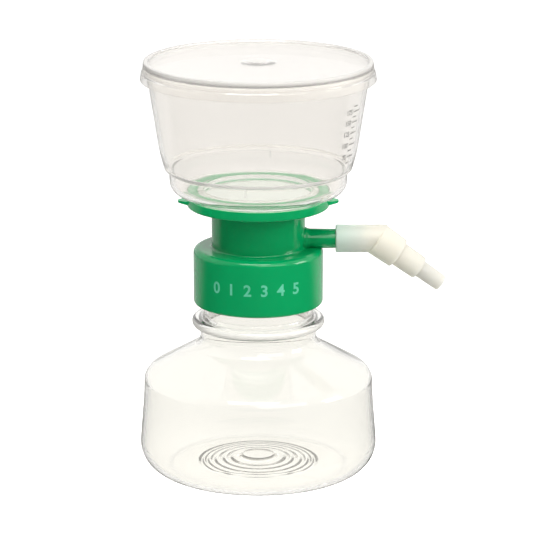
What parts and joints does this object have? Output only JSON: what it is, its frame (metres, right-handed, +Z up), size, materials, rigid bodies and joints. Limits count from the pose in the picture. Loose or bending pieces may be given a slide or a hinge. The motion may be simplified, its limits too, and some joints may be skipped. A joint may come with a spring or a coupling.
{
  "type": "vacuum filtration unit",
  "caption": "Clear flared funnel with a loose lid over a membrane on a green screw-on filter base, with an angled hose side arm, on a clear wide-neck receiver bottle.",
  "frame": {"origin": "on the bench, under the middle of the unit's bounding box; the bottle's own axis stands 14.26 mm from it towards -X", "axes": "+Z up along the bottle's axis, +X the way the side arm points, +Y to the back"},
  "size_m": [0.1278, 0.0992, 0.1743],
  "materials": {
    "clear_bottle": "gloss",
    "clear_funnel": "gloss",
    "green_plastic": "satin",
    "milky_plastic": "satin",
    "white_plastic": "satin",
    "membrane_sheet": "matte",
    "silicone": "satin",
    "cotton": "matte"
  },
  "bodies": {
    "bottle": {"receiver_bottle": "clear_bottle"},
    "seal": {"mouth_gasket": "silicone"},
    "head": {"filter_base": "green_plastic", "port_plug": "cotton", "support_grid": "white_plastic", "filter_membrane": "membrane_sheet", "funnel": "clear_funnel"},
    "lid": {"funnel_lid": "clear_funnel"},
    "port": {"hose_adapter": "milky_plastic"}
  },
  "joints": [
    {"name": "head_lift", "type": "slide", "parent": "bottle", "child": "seal", "axis": [0, 0, 1], "range_m": [0, 0.008]},
    {"name": "head_turn", "type": "hinge", "parent": "seal", "child": "head", "pos_m": [-0.01426, 0, 0.093], "axis": [0, 0, 1], "range_deg": [0, 720]},
    {"name": "lid_lift", "type": "slide", "parent": "head", "child": "lid", "axis": [0, 0, 1], "range_m": [0, 0.03]},
    {"name": "port_swivel", "type": "hinge", "parent": "head", "child": "port", "pos_m": [0.02, 0, 0.09902], "axis": [1, 0, 0], "continuous": true}
  ],
  "couplings": [
    {"joint": "head_lift", "follows": "head_turn", "m_per_rad": 0.0006366}
  ]
}
